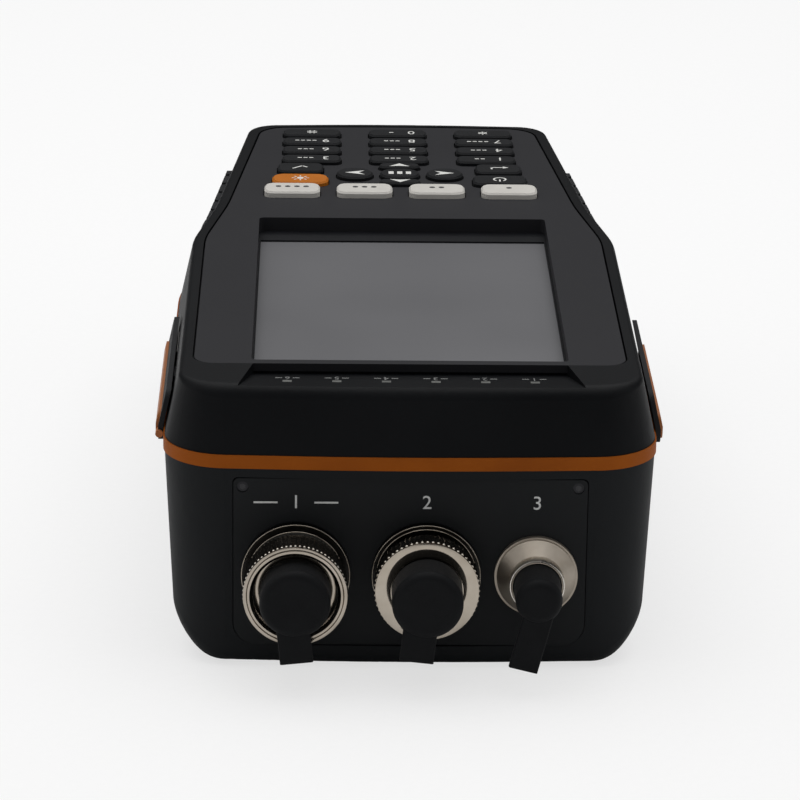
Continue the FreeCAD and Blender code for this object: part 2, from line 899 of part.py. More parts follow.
def key_layout():
    """Every key: name, x, distance from the front, size, and how far it stands out."""
    rows = []
    for number in range(4):
        x = (1.5 - number) * soft_key_pitch
        rows.append(("key_f%d" % (number + 1), x, case_length - soft_key_from_tail, soft_key_size, soft_key_proud))
    row_two = case_length - row_two_from_tail
    row_three = case_length - row_three_from_tail
    pad = case_length - pad_from_tail
    rows += [("key_light", -side_key_offset, row_two, light_key_size, key_proud),
             ("key_off", side_key_offset, row_two, off_key_size, key_proud),
             ("key_ok", -side_key_offset, row_three, ok_key_size, key_proud),
             ("key_esc", side_key_offset, row_three, ok_key_size, key_proud),
             ("key_menu", 0, pad, menu_key_size, key_proud),
             ("key_left", turn_key_offset, pad, turn_key_size, key_proud),
             ("key_right", -turn_key_offset, pad, turn_key_size, key_proud),
             ("key_up", 0, pad - step_key_offset, step_key_size, key_proud),
             ("key_down", 0, pad + step_key_offset, step_key_size, key_proud)]
    names = (("1", "2", "3"), ("4", "5", "6"), ("7", "8", "9"), ("star", "0", "hash"))
    for row, row_names in enumerate(names):
        for column, name in enumerate(row_names):
            from_front = case_length - number_from_tail + row * number_pitch_along
            rows.append(("key_" + name, (1 - column) * number_pitch_across, from_front,
                         number_key_size, key_proud))
    return rows


def key_block(x, from_front, size, grow, low, high):
    width, length, corner = size
    return rounded_block(width + 2 * grow, length + 2 * grow, corner + min(grow, 0), x, along(from_front), low, high)


def flange_block(x, from_front, size, grow, low, high):
    half_width = size[0] / 2 + grow
    half_length = size[1] / 2 + grow
    return block(x - half_width, x + half_width, along(from_front) - half_length,
                 along(from_front) + half_length, low, high)


def make_key(x, from_front, size, proud):
    flange_top = plate_bottom - key_slack
    flange_low = flange_top - key_flange_thickness
    cap = key_block(x, from_front, size, 0, flange_low, plate_top + proud)
    top_edges = [edge for edge in cap.Edges if edge.BoundBox.ZMin > plate_top + proud - 0.001]
    cap = cap.makeChamfer(key_edge, top_edges)
    flange = flange_block(x, from_front, size, key_flange, flange_low, flange_top)
    stem_low = board_top + contact_height + key_travel + contact_gap
    stem = upright(min(key_stem_radius, size[1] / 2 - 0.2), x, along(from_front), stem_low, flange_low)
    return cap.fuse([flange, stem])


def make_face_plate():
    plate = plate_prism(0, plate_bottom, plate_top)
    plate = plate.fuse(window_block(skirt, glass_top, plate_top))
    cuts = [window_block(0, glass_top - 1, top_z)]
    for name, x, from_front, size, proud in key_layout():
        cuts.append(key_block(x, from_front, size, key_clearance, plate_bottom - 1, plate_top + 1))
    return plate.cut(cuts).removeSplitter()


def make_bezel():
    low = glass_top
    high = glass_top + bezel_thickness
    frame = window_block(-bezel_clearance, low, high)
    hole = block(-window_half + bezel_side, window_half - bezel_side, along(window_near + bezel_side),
                 along(window_far - bezel_far), low - 1, high + 1)
    return frame.cut(hole)


def knurled(radius, teeth, x, start, end):
    """Cylinder along a port's axis with V-shaped knurls all round."""
    points = []
    for number in range(2 * teeth):
        angle = math.pi * number / teeth
        reach = radius if number % 2 == 0 else radius - knurl_depth
        points.append(Vector(x + reach * math.cos(angle), panel_y - start, port_height + reach * math.sin(angle)))
    face = Part.Face(Part.makePolygon(points + points[:1]))
    return face.extrude(Vector(0, start - end, 0))


def turned_profile(x, profile):
    """Solid of revolution about a port's axis from (radius, distance in front of the panel) points."""
    points = [Vector(x + radius, panel_y - reach, port_height) for radius, reach in profile]
    face = Part.Face(Part.makePolygon(points + points[:1]))
    return face.revolve(Vector(x, 0, port_height), Vector(0, 1, 0), 360)


def back_reach():
    """Distance from the panel's face back to the optics module, as a negative reach."""
    return panel_recess - optics_near


def make_first_flange():
    x = port_one_x
    neck_end = flange_thickness + neck_length
    profile = [(neck_bore, flange_thickness), (neck_bore, neck_end), (neck_radius - neck_groove, neck_end),
               (neck_radius, neck_end - neck_groove)]
    for number in range(neck_groove_count):
        edge = flange_thickness + neck_groove_start - number * neck_groove_pitch
        profile += [(neck_radius, edge), (neck_radius - neck_groove, edge - neck_groove),
                    (neck_radius, edge - 2 * neck_groove)]
    profile.append((neck_radius, flange_thickness))
    neck = turned_profile(x, profile)
    flange = forward_cylinder(flange_radius, x, 0, flange_thickness)
    flange = flange.cut(forward_cylinder(shank_radius, x, -1, flange_thickness + 1))
    return flange.fuse(neck)


def make_first_core():
    x = port_one_x
    solid = forward_cylinder(shank_radius, x, back_reach(), flange_thickness)
    solid = solid.fuse([forward_cylinder(core_disc_radius, x, flange_thickness, flange_thickness + core_disc_length),
                        forward_cylinder(barrel_radius, x, flange_thickness, barrel_end)])
    return solid.cut(forward_cylinder(barrel_bore, x, flange_thickness, barrel_end + 1))


def make_first_ring():
    x = port_one_x
    ring = knurled(ring_radius, ring_knurls, x, ring_start + ring_chamfer, ring_end - ring_chamfer * 2)
    inner = ring_radius - knurl_depth - ring_chamfer
    ends = turned_profile(x, [(0, ring_start), (inner, ring_start), (ring_radius - knurl_depth, ring_start + ring_chamfer),
                              (ring_radius - knurl_depth, ring_end - 2 * ring_chamfer),
                              (inner, ring_end - 2 * ring_chamfer), (inner, ring_end - ring_chamfer),
                              (ring_radius - knurl_depth, ring_end - ring_chamfer),
                              (inner, ring_end), (0, ring_end)])
    bore = forward_cylinder(neck_radius + ring_fit, x, ring_start - 1, ring_end - ring_lip_length)
    mouth = turned_profile(x, [(0, ring_start - 1), (ring_lip_bore, ring_start - 1),
                               (ring_lip_bore, ring_end - ring_chamfer),
                               (ring_lip_bore + ring_chamfer, ring_end), (ring_lip_bore + ring_chamfer, ring_end + 1),
                               (0, ring_end + 1)])
    return ring.fuse(ends).cut([bore, mouth])


def strap(x, end_reach, width, offset, below, lean):
    """Flat pull strap hanging in front of a cap, turned about the cap's axis by a small lean."""
    outer = panel_y - end_reach + strap_set_back
    piece = rounded_block(width, strap_thickness, strap_edge, x + offset, outer + strap_thickness / 2,
                          port_height - below, port_height)
    return turned(piece, Vector(x, 0, port_height), Vector(0, 1, 0), lean)


def make_cap(x, radius, start, end, bore, strap_sizes):
    body = forward_cylinder(radius, x, start, end)
    rim = [edge for edge in body.Edges if edge.BoundBox.YMax < panel_y - end + 0.001]
    body = body.makeFillet(cap_edge, rim)
    body = body.fuse(strap(x, end, *strap_sizes))
    return body.cut(forward_cylinder(bore + cap_bore_clearance, x, start - 1, end - cap_roof))


def make_second_flange():
    x = port_two_x
    neck_end = flange_thickness + disc_neck_length
    solid = forward_cylinder(flange_radius, x, 0, flange_thickness)
    solid = solid.fuse([forward_cylinder(disc_neck_radius, x, flange_thickness, neck_end),
                        forward_cylinder(shank_radius, x, back_reach(), flange_thickness),
                        forward_cylinder(spigot_radius, x, neck_end, disc_end - 2)])
    return solid


def make_disc_adapter():
    x = port_two_x
    low = disc_radius - knurl_depth - ring_chamfer
    disc = knurled(disc_radius, disc_knurls, x, disc_start + ring_chamfer, disc_end - ring_chamfer)
    ends = turned_profile(x, [(0, disc_start), (low, disc_start), (low + ring_chamfer, disc_start + ring_chamfer),
                              (low + ring_chamfer, disc_end - ring_chamfer), (low, disc_end), (0, disc_end)])
    disc = disc.fuse([ends, forward_cylinder(barrel_radius, x, disc_end - 1, disc_barrel_end)])
    room = forward_cylinder(spigot_radius + disc_fit, x, disc_start - 1, disc_end - 2 + disc_fit)
    return disc.cut([room, forward_cylinder(barrel_bore, x, disc_start, disc_barrel_end + 1)])


def make_third_flange():
    x = port_three_x
    profile = [(0, back_reach()), (shank_radius, back_reach()), (shank_radius, 0), (dome_flange_radius, 0),
               (dome_flange_radius, dome_start), (dome_radius, dome_start), (dome_radius, dome_start + dome_edge),
               (dome_top_radius, dome_start + dome_height), (dome_top_radius, dome_barrel_end - dome_edge),
               (dome_top_radius - dome_edge, dome_barrel_end), (dome_bore, dome_barrel_end),
               (dome_bore, dome_room_start), (0, dome_room_start)]
    return turned_profile(x, profile)


def make_sleeve():
    x = port_three_x
    tube = forward_cylinder(sleeve_radius, x, dome_room_start, sleeve_end)
    return tube.cut(forward_cylinder(barrel_bore, x, dome_room_start + 1, sleeve_end + 1))


def grip_skin(inner, outer):
    """Case-shaped layer between two offsets from the walls, over the height of the grips."""
    shapes = []
    for offset in (outer, inner):
        low = slab(lower_draft, grip_low - 2, band_z, -offset)
        middle = slab(straight_draft, band_z, band_top, -offset)
        high = slab(upper_draft, band_top, grip_high + 2, -offset)
        shapes.append([low, middle, high])
    outer_body = shapes[0][0].fuse(shapes[0][1:])
    return outer_body.cut(shapes[1])


def grip_mask():
    corners = [(along(grip_near), grip_low, grip_corner), (along(grip_far), grip_low, grip_corner),
               (along(grip_far), grip_high, grip_corner), (along(grip_near), grip_high, grip_corner)]
    mask = Part.Face(rounded_wire(corners, 0)).extrude(Vector(0, 0, through))
    mask.rotate(Vector(0, 0, 0), Vector(1, 1, 1), 120)
    return mask


def make_grip():
    """Right-hand rubber pad, its outer side cut by upright grooves into ribs."""
    pad = grip_skin(0, grip_thickness).common(grip_mask())
    band_room = slab(straight_draft, band_z, band_top, -band_proud)
    pad = pad.cut(band_room)
    layer = grip_skin(grip_thickness - rib_groove_depth, grip_thickness + 1)
    count = int((grip_far - grip_near - rib_groove) // rib_pitch)
    first = (grip_near + grip_far - (count - 1) * rib_pitch) / 2
    bars = []
    for number in range(count):
        middle = along(first + number * rib_pitch)
        bars.append(block(0, head_half + 10, middle - rib_groove / 2, middle + rib_groove / 2,
                          grip_low + 3, grip_high + 1))
    return pad.cut([bar.common(layer) for bar in bars])


def make_flap():
    outer = band_proud + flap_gap + flap_thickness
    return side_piece(flap_low, flap_high, band_proud + flap_gap, outer, flap_near, flap_far, flap_corner)


def anchor_piece(room):
    """The strip below a flap, or with some room around it the groove that it lies in."""
    high = flap_low - flap_hinge_gap
    return side_piece(high - anchor_height - room, high + room, -anchor_sunk - room, band_proud,
                      flap_near + flap_corner - room, flap_far - flap_corner + room, anchor_height / 3)


def make_stripe(with_lug):
    inner = band_proud + flap_gap + flap_thickness
    outer = inner + stripe_thickness
    stripe = side_piece(stripe_low, stripe_high, inner, outer, flap_near + stripe_margin,
                        flap_far - stripe_margin, (stripe_high - stripe_low) / 2.5)
    if with_lug:
        start = along(flap_near + stripe_margin - lug_length)
        lug = Part.makeCylinder(lug_radius, 2 * lug_length,
                                Vector(head_half + outer - lug_radius, start, (band_z + band_top) / 2),
                                Vector(0, 1, 0))
        body = make_flap()
        stripe = stripe.fuse(lug.cut(body))
    return stripe


def build():
    os.makedirs("parts", exist_ok=True)
    upper_out = upper_outside()
    lower_out = lower_outside()
    save("upper_case", make_upper_case(upper_out))
    save("lower_case", make_lower_case(lower_out))
    save("band_seal", make_band())
    save("face_plate", make_face_plate())
    save("display_glass", window_block(skirt, glass_bottom, glass_top))
    save("display_bezel", make_bezel())
    save("display_module", window_block(skirt, board_top, glass_bottom))
    save("led_windows", *lamps(0))
    save("main_board", make_board())
    for name, x, from_front, size, proud in key_layout():
        save(name, make_key(x, from_front, size, proud))
    save("port_panel", make_port_panel())
    save("otdr_flange", make_first_flange())
    save("otdr_core", make_first_core())
    save("otdr_ring", make_first_ring())
    save("otdr_cap", make_cap(port_one_x, cap_radius, cap_start, cap_end, barrel_radius, first_strap))
    save("opm_flange", make_second_flange())
    save("opm_adapter", make_disc_adapter())
    save("opm_cap", make_cap(port_two_x, cap_radius, cap_start, cap_end, barrel_radius, second_strap))
    save("vfl_flange", make_third_flange())
    save("vfl_sleeve", make_sleeve())
    save("vfl_cap", make_cap(port_three_x, small_cap_radius, small_cap_start, small_cap_end, sleeve_radius,
                             third_strap))
    grip = make_grip()
    save("grips", grip, mirrored(grip))
    save("right_flap", make_flap())
    save("left_flap", mirrored(make_flap()))
    save("flap_anchors", anchor_piece(0), mirrored(anchor_piece(0)))
    save("right_stripe", make_stripe(False))
    save("left_stripe", mirrored(make_stripe(True)))
    save("power_socket", mirrored(make_power_socket()))
    save("host_socket", mirrored(socket_shell(host_socket_from_front, host_socket_size, host_opening, host_tongue)))
    save("device_socket", socket_shell(device_socket_from_front, device_socket_size, device_opening, device_tongue))
    save("battery_pack", make_battery())
    save("battery_door", make_battery_door())
    save("small_screws", *make_board_screws(), *make_panel_screws(), *make_door_screws())
    save("case_screws", *make_case_screws())
    save("rubber_feet", *make_feet())
    save("optics_module", make_optics_module())


build()
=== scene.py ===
import math

import bpy
from mathutils import Matrix, Vector


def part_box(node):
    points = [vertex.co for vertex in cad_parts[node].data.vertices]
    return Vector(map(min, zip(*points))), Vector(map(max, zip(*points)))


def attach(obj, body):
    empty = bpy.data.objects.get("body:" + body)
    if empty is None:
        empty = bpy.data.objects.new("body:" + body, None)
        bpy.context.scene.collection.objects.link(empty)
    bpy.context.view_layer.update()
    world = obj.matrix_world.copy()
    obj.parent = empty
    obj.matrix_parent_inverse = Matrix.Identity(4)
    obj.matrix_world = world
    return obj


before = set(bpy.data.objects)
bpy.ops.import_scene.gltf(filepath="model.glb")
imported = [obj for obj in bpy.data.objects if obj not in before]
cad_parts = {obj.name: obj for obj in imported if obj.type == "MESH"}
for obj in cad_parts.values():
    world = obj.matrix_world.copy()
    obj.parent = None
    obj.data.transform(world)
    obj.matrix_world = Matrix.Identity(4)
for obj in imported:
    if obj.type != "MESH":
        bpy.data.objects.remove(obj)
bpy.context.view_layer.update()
print("frame loaded:", len(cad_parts), "nodes")


def mm(value):
    return value / 1000


def sRgb(text):
    parts = [int(text[start:start + 2], 16) / 255 for start in (0, 2, 4)]
    linear = [part / 12.92 if part <= 0.04045 else ((part + 0.055) / 1.055) ** 2.4 for part in parts]
    return (*linear, 1.0)


def grey(value):
    return (value, value, value, 1.0)


def addNode(tree, kind, settings=None, links=None):
    node = tree.nodes.new(kind)
    for key, value in (settings or {}).items():
        if isinstance(key, str) and hasattr(node, key):
            setattr(node, key, value)
        else:
            node.inputs[key].default_value = value
    for key, source in (links or {}).items():
        tree.links.new(source, node.inputs[key])
    return node


def newMaterial(name):
    material = bpy.data.materials.new(name)
    material.use_nodes = True
    tree = material.node_tree
    tree.nodes.clear()
    return material, tree, addNode(tree, "ShaderNodeTexCoord").outputs["Object"]


def closeMaterial(tree, surface):
    addNode(tree, "ShaderNodeOutputMaterial", None, {"Surface": surface})


def noise(tree, place, size, detail):
    return addNode(tree, "ShaderNodeTexNoise", {"Scale": 1 / mm(size), "Detail": detail},
                   {"Vector": place}).outputs["Fac"]


def ramp(tree, source, stops):
    node = addNode(tree, "ShaderNodeValToRGB", None, {"Fac": source})
    elements = node.color_ramp.elements
    while len(elements) < len(stops):
        elements.new(0.5)
    for element, (place, colour) in zip(elements, stops):
        element.position = place
        element.color = colour
    return node.outputs["Color"]


def addSurface(tree, colour, rough, height, strength, depth, settings):
    bump = addNode(tree, "ShaderNodeBump", {"Strength": strength, "Distance": mm(depth)}, {"Height": height})
    shader = addNode(tree, "ShaderNodeBsdfPrincipled", settings,
                     {"Base Color": colour, "Roughness": rough, "Normal": bump.outputs["Normal"]})
    closeMaterial(tree, shader.outputs["BSDF"])


def mouldedPlastic(name, look):
    material, tree, place = newMaterial(name)
    cloud = noise(tree, place, look["cloudSize"], 3.0)
    grain = noise(tree, place, look["grainSize"], 2.0)
    pits = addNode(tree, "ShaderNodeTexVoronoi", {"Scale": 1 / mm(look["grainSize"] * 1.7)},
                   {"Vector": place}).outputs["Distance"]
    skin = addNode(tree, "ShaderNodeMath", {"operation": "MULTIPLY"}, {0: grain, 1: pits}).outputs[0]
    colour = ramp(tree, cloud, [(0.3, sRgb(look["dark"])), (0.7, sRgb(look["light"]))])
    rough = ramp(tree, cloud, [(0.25, grey(look["rough"] - 0.04)), (0.75, grey(look["rough"] + 0.05))])
    addSurface(tree, colour, rough, skin, look["bump"], 0.05, {"Specular IOR Level": look["shine"]})
    return material


def softRubber(name, look):
    material, tree, place = newMaterial(name)
    cloud = noise(tree, place, look["cloudSize"], 5.0)
    skin = noise(tree, place, look["grainSize"], 3.0)
    colour = ramp(tree, cloud, [(0.3, sRgb(look["dark"])), (0.72, sRgb(look["light"]))])
    rough = ramp(tree, skin, [(0.3, grey(look["rough"] - 0.06)), (0.7, grey(look["rough"] + 0.06))])
    addSurface(tree, colour, rough, skin, look["bump"], 0.04,
               {"Specular IOR Level": look["shine"], "Sheen Weight": look["sheen"], "Sheen Roughness": 0.5})
    return material


def platedMetal(name, look):
    # the lathe's lines lie close together along a port's axis, hence the long stretch
    material, tree, place = newMaterial(name)
    turning = addNode(tree, "ShaderNodeMapping", {"Scale": (1.0, 14.0, 1.0)},
                      {"Vector": place}).outputs["Vector"]
    lathe = noise(tree, turning, look["lineSize"], 2.0)
    haze = noise(tree, place, 5, 4.0)
    colour = ramp(tree, haze, [(0.3, sRgb(look["dark"])), (0.7, sRgb(look["light"]))])
    rough = ramp(tree, haze, [(0.3, grey(look["rough"] - 0.04)), (0.7, grey(look["rough"] + 0.05))])
    addSurface(tree, colour, rough, lathe, look["bump"], 0.02, {"Metallic": 1.0})
    return material


def displayCover(name, look):
    material, tree, place = newMaterial(name)
    film = noise(tree, place, 60, 2.0)
    haze = noise(tree, place, 0.12, 1.0)
    colour = ramp(tree, film, [(0.3, sRgb(look["dark"])), (0.7, sRgb(look["light"]))])
    rough = ramp(tree, film, [(0.3, grey(look["rough"] - 0.03)), (0.7, grey(look["rough"] + 0.03))])
    addSurface(tree, colour, rough, haze, 0.05, 0.005,
               {"Specular IOR Level": 0.5, "Coat Weight": 0.3, "Coat Roughness": 0.12})
    return material


def circuitBoard(name):
    material, tree, place = newMaterial(name)
    tracks = addNode(tree, "ShaderNodeTexVoronoi", {"Scale": 1 / mm(2.5), "distance": "CHEBYCHEV"},
                     {"Vector": place}).outputs["Distance"]
    colour = ramp(tree, tracks, [(0.15, sRgb("0f5a2c")), (0.3, sRgb("0b3d20"))])
    rough = ramp(tree, tracks, [(0.1, grey(0.3)), (0.5, grey(0.45))])
    addSurface(tree, colour, rough, tracks, 0.2, 0.03, {"Specular IOR Level": 0.5})
    return material


def printedInk(name, look):
    material, tree, place = newMaterial(name)
    wear = noise(tree, place, 0.5, 3.0)
    colour = ramp(tree, wear, [(0.25, sRgb(look["dark"])), (0.6, sRgb(look["light"]))])
    rough = ramp(tree, wear, [(0.3, grey(0.5)), (0.7, grey(0.65))])
    addSurface(tree, colour, rough, wear, 0.15, 0.02, {"Specular IOR Level": 0.35})
    return material


casePlastic = mouldedPlastic("graphiteCasePlastic", {
    "dark": "0f1012", "light": "131416", "rough": 0.47, "shine": 0.08, "bump": 0.35,
    "grainSize": 0.32, "cloudSize": 28})
basePlastic = mouldedPlastic("graphiteBasePlastic", {
    "dark": "16181a", "light": "1a1c1e", "rough": 0.52, "shine": 0.12, "bump": 0.35,
    "grainSize": 0.32, "cloudSize": 26})
platePlastic = mouldedPlastic("facePlatePlastic", {
    "dark": "232326", "light": "27272a", "rough": 0.6, "shine": 0.16, "bump": 0.22,
    "grainSize": 0.26, "cloudSize": 34})
panelPlastic = mouldedPlastic("portPanelPlastic", {
    "dark": "131517", "light": "17191b", "rough": 0.55, "shine": 0.18, "bump": 0.25,
    "grainSize": 0.3, "cloudSize": 22})
bezelPlastic = mouldedPlastic("displayBezelInk", {
    "dark": "0c0d10", "light": "111216", "rough": 0.6, "shine": 0.15, "bump": 0.1,
    "grainSize": 0.3, "cloudSize": 15})
sealRubber = softRubber("orangeSealRubber", {
    "dark": "8c4606", "light": "9b5009", "rough": 0.6, "shine": 0.12, "bump": 0.2,
    "grainSize": 0.5, "sheen": 0.0, "cloudSize": 14})
gripRubber = softRubber("blackGripRubber", {
    "dark": "1c1d1f", "light": "222325", "rough": 0.68, "shine": 0.2, "bump": 0.3,
    "grainSize": 0.35, "sheen": 0.02, "cloudSize": 12})
capRubber = softRubber("dustCapRubber", {
    "dark": "0d0e10", "light": "121315", "rough": 0.6, "shine": 0.12, "bump": 0.3,
    "grainSize": 0.4, "sheen": 0.02, "cloudSize": 6})
darkKeyRubber = softRubber("darkKeyRubber", {
    "dark": "121315", "light": "17181b", "rough": 0.5, "shine": 0.12, "bump": 0.15,
    "grainSize": 0.3, "sheen": 0.02, "cloudSize": 5})
whiteKeyRubber = softRubber("whiteKeyRubber", {
    "dark": "c9c6c0", "light": "d1cec8", "rough": 0.5, "shine": 0.2, "bump": 0.12,
    "grainSize": 0.3, "sheen": 0.03, "cloudSize": 6})
orangeKeyRubber = softRubber("orangeKeyRubber", {
    "dark": "b2661a", "light": "bd6e20", "rough": 0.5, "shine": 0.12, "bump": 0.12,
    "grainSize": 0.3, "sheen": 0.0, "cloudSize": 6})
# the side stripes are the seal's orange rubber; their paler, bluer colour is painted reflection of the white
# floor seen at a grazing angle, on top of the real sheen and shine
paintedPaleStripeRubber = softRubber("coverStripeRubberPaintedPale", {
    "dark": "a05c26", "light": "ac662e", "rough": 0.55, "shine": 0.45, "bump": 0.15,
    "grainSize": 0.4, "sheen": 0.1, "cloudSize": 10})
nickelPlate = platedMetal("satinNickelPlate", {
    "dark": "a99f92", "light": "bcb3a7", "rough": 0.18, "bump": 0.1, "lineSize": 0.3})
mirrorPlate = platedMetal("brightNickelPlate", {
    "dark": "b0a698", "light": "c0b7aa", "rough": 0.09, "bump": 0.03, "lineSize": 0.3})
# a lighter copy of the nickel plate: painted glint on the knurls' tooth ends and the VFL barrel, which also
# catch real highlights
paintedGlintNickelPlate = platedMetal("lighterNickelPaintedGlint", {
    "dark": "dcd6cc", "light": "e8e3da", "rough": 0.28, "bump": 0.05, "lineSize": 0.2})
softPlate = platedMetal("brushedNickelPlate", {
    "dark": "a99f92", "light": "bcb3a7", "rough": 0.46, "bump": 0.15, "lineSize": 0.3})
darkPlate = platedMetal("blackNickelPlate", {
    "dark": "262524", "light": "302f2d", "rough": 0.3, "bump": 0.1, "lineSize": 0.3})
screwSteel = platedMetal("blackenedScrewSteel", {
    "dark": "2c2c2e", "light": "38383a", "rough": 0.4, "bump": 0.15, "lineSize": 0.2})
shieldSteel = platedMetal("socketShieldSteel", {
    "dark": "a9a8a6", "light": "b9b8b6", "rough": 0.3, "bump": 0.1, "lineSize": 0.4})
contactGold = platedMetal("contactGold", {
    "dark": "c79a4a", "light": "d8ad5c", "rough": 0.25, "bump": 0.05, "lineSize": 0.3})
displayGlass = displayCover("greyDisplayGlass", {"dark": "626265", "light": "68686b", "rough": 0.4})
lampPlastic = mouldedPlastic("lampWindowPlastic", {
    "dark": "5c5d5b", "light": "6c6d6a", "rough": 0.3, "shine": 0.5, "bump": 0.05,
    "grainSize": 0.2, "cloudSize": 2})
ferruleCeramic = mouldedPlastic("ferruleCeramic", {
    "dark": "d8d6ce", "light": "e2e0d8", "rough": 0.25, "shine": 0.5, "bump": 0.03,
    "grainSize": 0.2, "cloudSize": 3})
boardLaminate = circuitBoard("greenBoardLaminate")
whiteInk = printedInk("whiteLegendInk", {"dark": "d2d2ce", "light": "e2e2de"})
greyInk = printedInk("greyLegendInk", {"dark": "c4c5c4", "light": "d4d5d4"})
dimInk = printedInk("dimLegendInk", {"dark": "6f706f", "light": "7e7f7e"})
blackInk = printedInk("blackLegendInk", {"dark": "303032", "light": "3c3c3f"})
print("finishes made:", len(bpy.data.materials))

softKeyNames = ["key_f1", "key_f2", "key_f3", "key_f4"]
nodeFinishes = {
    "upper_case": casePlastic, "lower_case": basePlastic, "battery_door": basePlastic,
    "band_seal": sealRubber, "left_stripe": paintedPaleStripeRubber, "right_stripe": paintedPaleStripeRubber,
    "face_plate": platePlastic, "display_glass": displayGlass, "display_bezel": bezelPlastic,
    "display_module": shieldSteel, "led_windows": lampPlastic, "main_board": boardLaminate,
    "port_panel": panelPlastic, "small_screws": screwSteel, "case_screws": screwSteel,
    "otdr_flange": darkPlate, "otdr_core": nickelPlate, "otdr_ring": nickelPlate,
    "opm_flange": darkPlate, "opm_adapter": mirrorPlate, "vfl_flange": softPlate,
    "vfl_sleeve": ferruleCeramic, "otdr_cap": capRubber, "opm_cap": capRubber, "vfl_cap": capRubber,
    "grips": gripRubber, "left_flap": gripRubber, "right_flap": gripRubber, "flap_anchors": gripRubber,
    "power_socket": bezelPlastic, "host_socket": shieldSteel, "device_socket": shieldSteel,
    "battery_pack": panelPlastic, "rubber_feet": gripRubber, "optics_module": shieldSteel,
    "key_light": orangeKeyRubber}


def giveFinish(node, material):
    if not node.material_slots:
        node.data.materials.append(material)
    for slot in node.material_slots:
        slot.material = material


for nodeName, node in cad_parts.items():
    if nodeName in nodeFinishes:
        giveFinish(node, nodeFinishes[nodeName])
    elif nodeName in softKeyNames:
        giveFinish(node, whiteKeyRubber)
    else:
        giveFinish(node, darkKeyRubber)
print("finishes given to the CAD nodes")


def deselectAll():
    if bpy.context.object and bpy.context.object.mode != "OBJECT":
        bpy.ops.object.mode_set(mode="OBJECT")
    bpy.ops.object.select_all(action="DESELECT")


def selectOnly(piece):
    deselectAll()
    piece.select_set(True)
    bpy.context.view_layer.objects.active = piece


def finishPiece(piece, name, body, material):
    selectOnly(piece)
    bpy.ops.object.transform_apply(location=True, rotation=True, scale=True)
    piece.name = name
    piece.data.name = name
    piece.data.materials.clear()
    piece.data.materials.append(material)
    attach(piece, body)


def joinPieces(pieces):
    deselectAll()
    for piece in pieces:
        piece.select_set(True)
    bpy.context.view_layer.objects.active = pieces[0]
    bpy.ops.object.transform_apply(location=True, rotation=True, scale=True)
    if len(pieces) > 1:
        bpy.ops.object.join()
    return bpy.context.object


def textShape(text, size, thickness):
    deselectAll()
    bpy.ops.object.text_add(location=(0, 0, 0))
    letters = bpy.context.object
    letters.data.body = text
    letters.data.size = mm(size)
    letters.data.extrude = mm(thickness) / 2
    letters.data.align_x = "CENTER"
    letters.data.align_y = "CENTER"
    letters.data.resolution_u = 4
    bpy.ops.object.convert(target="MESH")
    return bpy.context.object


def barShape(width, length, thickness, x=0.0, y=0.0, turn=0.0):
    deselectAll()
    bpy.ops.mesh.primitive_cube_add(size=1, location=(mm(x), mm(y), 0),
                                    rotation=(0, 0, math.radians(turn)),
                                    scale=(mm(width), mm(length), mm(thickness)))
    bar = bpy.context.object
    bpy.ops.object.transform_apply(location=True, rotation=True, scale=True)
    return bar


def discShape(radius, thickness, x=0.0, y=0.0, sides=20, turn=0.0):
    deselectAll()
    bpy.ops.mesh.primitive_cylinder_add(vertices=sides, radius=mm(radius), depth=mm(thickness),
                                        location=(mm(x), mm(y), 0), rotation=(0, 0, math.radians(turn)))
    disc = bpy.context.object
    bpy.ops.object.transform_apply(location=True, rotation=True, scale=True)
    return disc


def arcShape(radius, line, thickness, gap):
    # a flat ring with a gap at its top, from a short wall that is spun about the ring's middle
    deselectAll()
    bpy.ops.mesh.primitive_plane_add(size=1, location=(0, 0, 0), rotation=(math.radians(90), 0, 0))
    wall = bpy.context.object
    wall.scale = (mm(line), mm(thickness), 1)
    bpy.ops.object.transform_apply(location=True, rotation=True, scale=True)
    start = math.radians(90 + gap / 2)
    wall.location = (mm(radius) * math.cos(start), mm(radius) * math.sin(start), 0)
    wall.rotation_euler = (0, 0, start)
    bpy.ops.object.transform_apply(location=True, rotation=True, scale=True)
    bpy.ops.object.mode_set(mode="EDIT")
    bpy.ops.mesh.select_all(action="SELECT")
    bpy.ops.mesh.spin(steps=20, angle=math.radians(360 - gap), center=(0, 0, 0), axis=(0, 0, -1))
    bpy.ops.mesh.select_all(action="SELECT")
    bpy.ops.mesh.normals_make_consistent(inside=False)
    bpy.ops.object.mode_set(mode="OBJECT")
    return wall


def layOnTop(mark, x, y, top, thickness):
    # read from the tail's side, so turned half round
    mark.rotation_euler = (0, 0, math.pi)
    mark.location = (x, y, top + mm(thickness) / 2)


def nodeTop(name):
    low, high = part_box(name)
    return (low.x + high.x) / 2, (low.y + high.y) / 2, high.z


keyLegends = {"thickness": 0.03, "sink": 0.01, "digitSize": 4.0, "digitAside": 3.6, "dashAside": 1.6,
              "dashLength": 0.55, "dashWidth": 1.05, "dashPitch": 1.5, "dotRadius": 0.72, "dotPitch": 2.3,
              "dotsUp": -0.8, "signSize": 2.6, "starLine": 0.42, "hashLine": 0.38, "hashHalf": 0.55,
              "powerRadius": 1.5, "powerLine": 0.42, "powerGap": 70, "powerBar": 1.7, "powerBarUp": 1.1,
              "sunRadius": 0.85, "rayWidth": 0.32, "rayLength": 0.9, "rayReach": 1.75,
              "menuWidth": 1.3, "menuLength": 2.3, "menuPitch": 2.2}
# each stroke: width, length, x, y and turn
checkStrokes = [(0.5, 1.9, -1.0, -0.35, 45), (0.5, 3.6, 0.75, 0.25, -45)]
returnStrokes = [(3.2, 0.45, 0.3, -0.6, 0), (0.45, 1.6, 1.7, 0.1, 0)]
returnHead = {"radius": 1.0, "x": -1.7, "y": -0.6, "sides": 3, "turn": 90}
